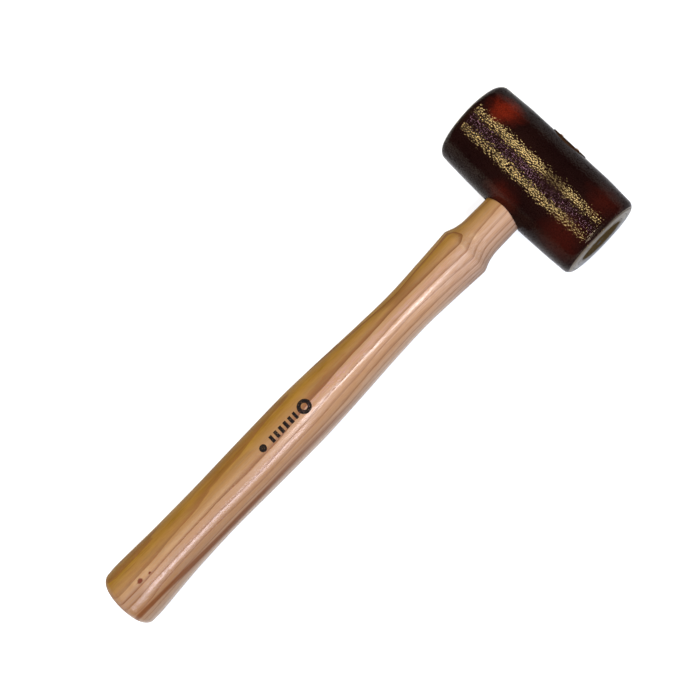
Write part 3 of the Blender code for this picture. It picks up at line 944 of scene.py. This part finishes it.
def make_lights(bench):
    """Two warm strips for the bands on the barrel, two for the streak on the grip, and soft fills."""
    head = bench @ Vector((HEAD_X, 0.0, 0.0))
    grip = bench @ Vector((0.165, 0.0, 0.0))
    butt = bench @ Vector((0.045, 0.0, 0.0))
    warm = (1.0, 0.83, 0.53)
    white = (1.0, 0.93, 0.98)
    along_head, along_grip = (0, 1, 0), (1, 0, 0)
    strips = [
        ("band_high", head, (0.335, 0.176, 0.926), (0.17, 0.42), 15.0, warm, along_head),
        ("band_low", head, (-0.500, 0.176, 0.848), (0.12, 0.42), 12.5, warm, along_head),
        ("band_violet", head, (-0.110, 0.190, 0.976), (0.014, 0.40), 2.8, (0.72, 0.44, 1.0), along_head),
        ("streak_grip", grip, (-0.036, -0.330, 0.943), (0.16, 0.32), 10.0, white, along_grip),
        ("streak_butt", butt, (-0.196, -0.650, 0.733), (0.20, 0.45), 8.0, (0.96, 0.88, 1.0), along_grip),
        ("grip_softbox", grip, (0.05, -0.70, 0.71), (0.60, 1.40), 2.4, (0.86, 0.90, 1.0), along_grip),
        ("grip_yellow", grip, (-0.10, 0.88, 0.47), (0.50, 1.40), 1.1, (1.0, 0.76, 0.26), along_grip),
    ]
    for name, target, direction, (width, length), watts, color, long_axis in strips:
        light = add_strip_light(name, target, direction, 1.3, width, length, watts, color)
        light.rotation_euler = light_frame(direction, long_axis)


def make_world():
    """A dim studio around the object, in front of a pale backdrop that only the camera sees."""
    world = bpy.data.worlds.new("studio")
    bpy.context.scene.world = world
    world.use_nodes = True
    nodes, links = world.node_tree.nodes, world.node_tree.links
    studio = nodes["Background"]
    studio.inputs["Color"].default_value = (0.90, 0.96, 1.0, 1.0)
    studio.inputs["Strength"].default_value = 0.055
    backdrop = nodes.new("ShaderNodeBackground")
    backdrop.inputs["Color"].default_value = FLOOR_GLOW
    backdrop.inputs["Strength"].default_value = FAR_GLOW
    shader = nodes.new("ShaderNodeMixShader")
    links.new(nodes.new("ShaderNodeLightPath").outputs["Is Camera Ray"], shader.inputs[0])
    links.new(studio.outputs[0], shader.inputs[1])
    links.new(backdrop.outputs[0], shader.inputs[2])
    links.new(shader.outputs[0], nodes["World Output"].inputs["Surface"])


def light_frame(direction, long_axis):
    """Rotation of a light that shines against a direction, with its own Y axis along long_axis."""
    back = Vector(direction).normalized()
    side = Vector(long_axis)
    side = (side - back * side.dot(back)).normalized()
    across = side.cross(back)
    return Matrix((across, side, back)).transposed().to_euler()


# Camera: above the middle of the handle, leaning a little towards the near striking face
CAMERA_TARGET = (0.01114, 0.00742, 0.020)
CAMERA_DISTANCE = 0.7511
CAMERA_AZIMUTH = math.radians(6.45)
CAMERA_ELEVATION = math.radians(79.2)
CAMERA_ROLL = math.radians(51.72)
CAMERA_LENS = 74.5


def make_camera():
    data = bpy.data.cameras.new("camera")
    data.lens = CAMERA_LENS
    data.sensor_width = 36.0
    data.clip_start = 0.01
    camera = bpy.data.objects.new("camera", data)
    bpy.context.scene.collection.objects.link(camera)
    level = math.cos(CAMERA_ELEVATION)
    back = Vector((math.sin(CAMERA_AZIMUTH) * level, -math.cos(CAMERA_AZIMUTH) * level, math.sin(CAMERA_ELEVATION)))
    camera.location = Vector(CAMERA_TARGET) + back * CAMERA_DISTANCE
    look = (-back).to_track_quat("-Z", "Y").to_matrix().to_4x4()
    turned = look @ Matrix.Rotation(-CAMERA_ROLL, 4, "Z")
    camera.rotation_euler = turned.to_euler()
    bpy.context.scene.camera = camera


# ---------------------------------------------------------------- assembly


def main():
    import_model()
    bench = bench_matrix()

    make_camera()
    make_lights(bench)
    make_world()
    make_floor()

    handle = make_handle()
    core, wrap, nails = make_head()
    wood_wedge, steel_wedges = make_wedges(handle)

    ash = ash_material()
    hide = hide_material()
    hide_edge = coil_end_material()
    wedge_wood = wedge_wood_material()
    steel = steel_material()

    handle.data.materials.append(ash)
    for strip in (core, wrap):
        strip.data.materials.clear()
        strip.data.materials.append(hide)
        strip.data.materials.append(hide_edge)
        paint_ends(strip)
    wood_wedge.data.materials.append(wedge_wood)
    for piece in steel_wedges + nails:
        piece.data.materials.append(steel)

    stands_for = [
        (handle, "ash", ["handle"]),
        (core, "lacquered_hide", ["hide_core"]),
        (wrap, "lacquered_hide", ["hide_outer_wrap"]),
        (wood_wedge, "wedge_wood", ["wooden_wedge"]),
        (steel_wedges[0], "steel", ["steel_wedge_near"]),
        (steel_wedges[1], "steel", ["steel_wedge_far"]),
    ]
    for number, nail in enumerate(nails, start=1):
        stands_for.append((nail, "steel", [f"seam_nail_{number}"]))
    for piece, slot, nodes in stands_for:
        piece.matrix_world = bench
        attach(piece, "root")
        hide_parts(*nodes)

    bpy.context.scene.view_settings.view_transform = "Standard"
    bpy.context.view_layer.update()


def paint_ends(strip):
    """Gives the flat ends of the coil their own material."""
    edge = HEAD_LENGTH / 2 - 0.0009
    for polygon in strip.data.polygons:
        if abs(polygon.center.y) > edge and abs(polygon.normal.y) > 0.6:
            polygon.material_index = 1


main()
